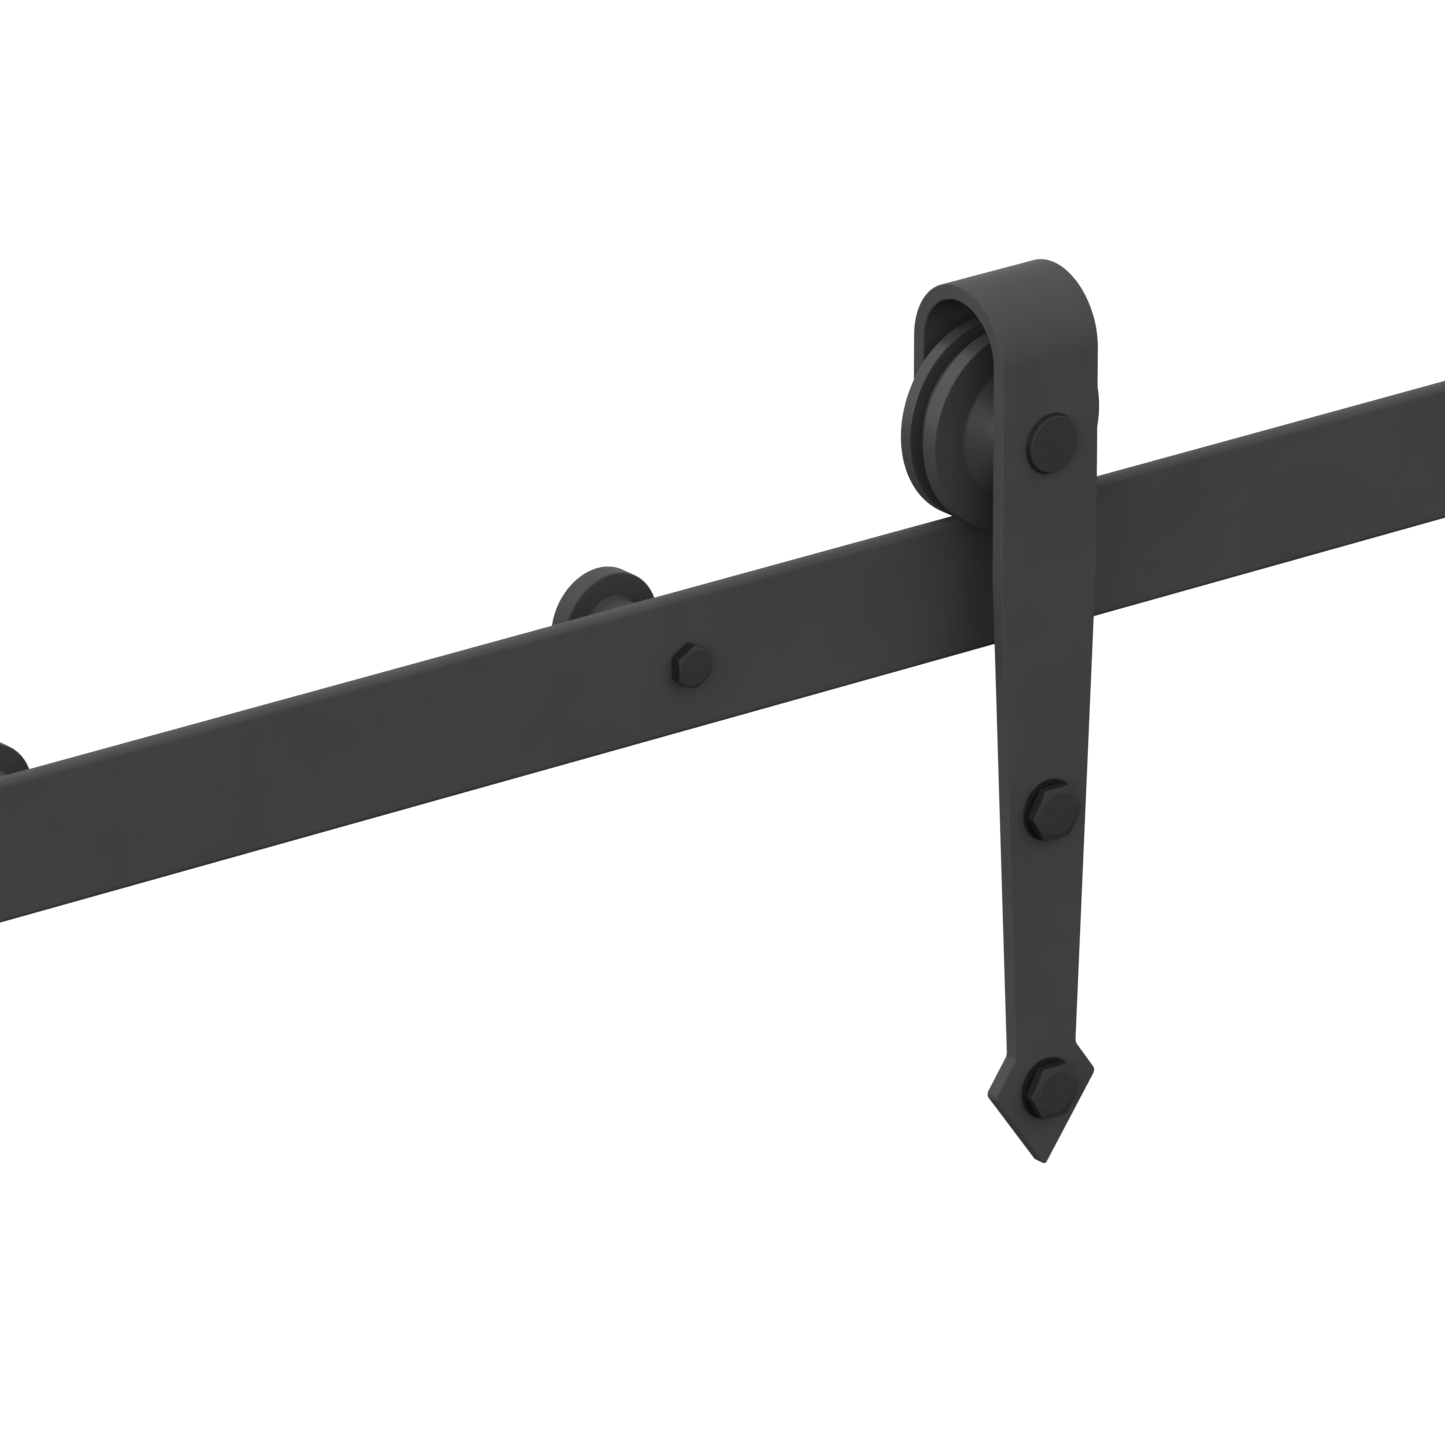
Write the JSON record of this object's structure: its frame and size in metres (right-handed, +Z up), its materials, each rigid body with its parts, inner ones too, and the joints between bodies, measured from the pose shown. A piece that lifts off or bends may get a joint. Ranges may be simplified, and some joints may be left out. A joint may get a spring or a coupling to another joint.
{
  "type": "sliding door hardware",
  "caption": "Flat-bar sliding door rail on wall spacers, with arrow-shaped strap hangers rolling on grooved wheels between rubber-buffered end stops.",
  "frame": {"origin": "on the wall plane, at the middle of the rail's length and height", "axes": "+X along the rail, +Y into the wall, +Z up"},
  "size_m": [2, 0.0796, 0.2556],
  "materials": {
    "rail_paint": "matte powder coat, dark grey",
    "spacer_paint": "matte powder coat, dark grey",
    "strap_paint": "matte powder coat, dark grey",
    "wheel_paint": "matte coat, dark grey",
    "stop_paint": "matte powder coat, dark grey",
    "fastener_black": "black oxide",
    "washer_black": "matte black",
    "steel": "ground steel",
    "brass": "pressed brass",
    "rubber": "matte black rubber"
  },
  "bodies": {
    "rail_assembly": {"rail": "rail_paint", "spacer_1": "spacer_paint", "spacer_2": "spacer_paint", "spacer_3": "spacer_paint", "spacer_4": "spacer_paint", "spacer_5": "spacer_paint", "spacer_6": "spacer_paint", "lag_bolt_1": "fastener_black", "lag_bolt_2": "fastener_black", "lag_bolt_4": "fastener_black", "lag_bolt_5": "fastener_black", "lag_bolt_6": "fastener_black", "blind_stud": "steel", "stop_left": "stop_paint", "stop_buffer_left": "rubber", "grub_screw_left_1": "fastener_black", "grub_screw_left_2": "fastener_black", "stop_right": "stop_paint", "stop_buffer_right": "rubber", "grub_screw_right_1": "fastener_black", "grub_screw_right_2": "fastener_black"},
    "hanger_left": {"strap_left": "strap_paint", "axle_bolt_left": "fastener_black", "axle_washer_left": "washer_black", "axle_nut_left": "fastener_black", "front_sleeve_left": "steel", "rear_sleeve_left": "steel", "bearing_inner_left": "steel", "door_bolt_upper_left": "fastener_black", "door_bolt_lower_left": "fastener_black", "door_washer_upper_left": "washer_black", "door_washer_lower_left": "washer_black"},
    "wheel_left_body": {"wheel_left": "wheel_paint", "bearing_outer_left": "steel"},
    "cage_left_body": {"ball_cage_left": "brass"},
    "hanger_right": {"strap_right": "strap_paint", "axle_bolt_right": "fastener_black", "axle_washer_right": "washer_black", "axle_nut_right": "fastener_black", "front_sleeve_right": "steel", "rear_sleeve_right": "steel", "bearing_inner_right": "steel", "door_bolt_upper_right": "fastener_black", "door_bolt_lower_right": "fastener_black", "door_washer_upper_right": "washer_black", "door_washer_lower_right": "washer_black"},
    "wheel_right_body": {"wheel_right": "wheel_paint", "bearing_outer_right": "steel"},
    "cage_right_body": {"ball_cage_right": "brass"}
  },
  "joints": [
    {"name": "hanger_left_slide", "type": "slide", "parent": "rail_assembly", "child": "hanger_left", "axis": [1, 0, 0], "range_m": [-1.13, 0.1]},
    {"name": "wheel_left_spin", "type": "hinge", "parent": "hanger_left", "child": "wheel_left_body", "pos_m": [0.215, -0.0375, 0.0445], "axis": [0, 1, 0], "continuous": true},
    {"name": "cage_left_spin", "type": "hinge", "parent": "hanger_left", "child": "cage_left_body", "pos_m": [0.215, -0.0375, 0.0445], "axis": [0, 1, 0], "continuous": true},
    {"name": "hanger_right_slide", "type": "slide", "parent": "rail_assembly", "child": "hanger_right", "axis": [1, 0, 0], "range_m": [-1.13, 0.1]},
    {"name": "wheel_right_spin", "type": "hinge", "parent": "hanger_right", "child": "wheel_right_body", "pos_m": [0.815, -0.0375, 0.0445], "axis": [0, 1, 0], "continuous": true},
    {"name": "cage_right_spin", "type": "hinge", "parent": "hanger_right", "child": "cage_right_body", "pos_m": [0.815, -0.0375, 0.0445], "axis": [0, 1, 0], "continuous": true}
  ],
  "couplings": [
    {"joint": "wheel_left_spin", "follows": "hanger_left_slide", "rad_per_m": 40.816},
    {"joint": "cage_left_spin", "follows": "hanger_left_slide", "rad_per_m": 24.788},
    {"joint": "wheel_right_spin", "follows": "hanger_left_slide", "rad_per_m": 40.816},
    {"joint": "cage_right_spin", "follows": "hanger_left_slide", "rad_per_m": 24.788},
    {"joint": "hanger_right_slide", "follows": "hanger_left_slide", "ratio": 1}
  ]
}
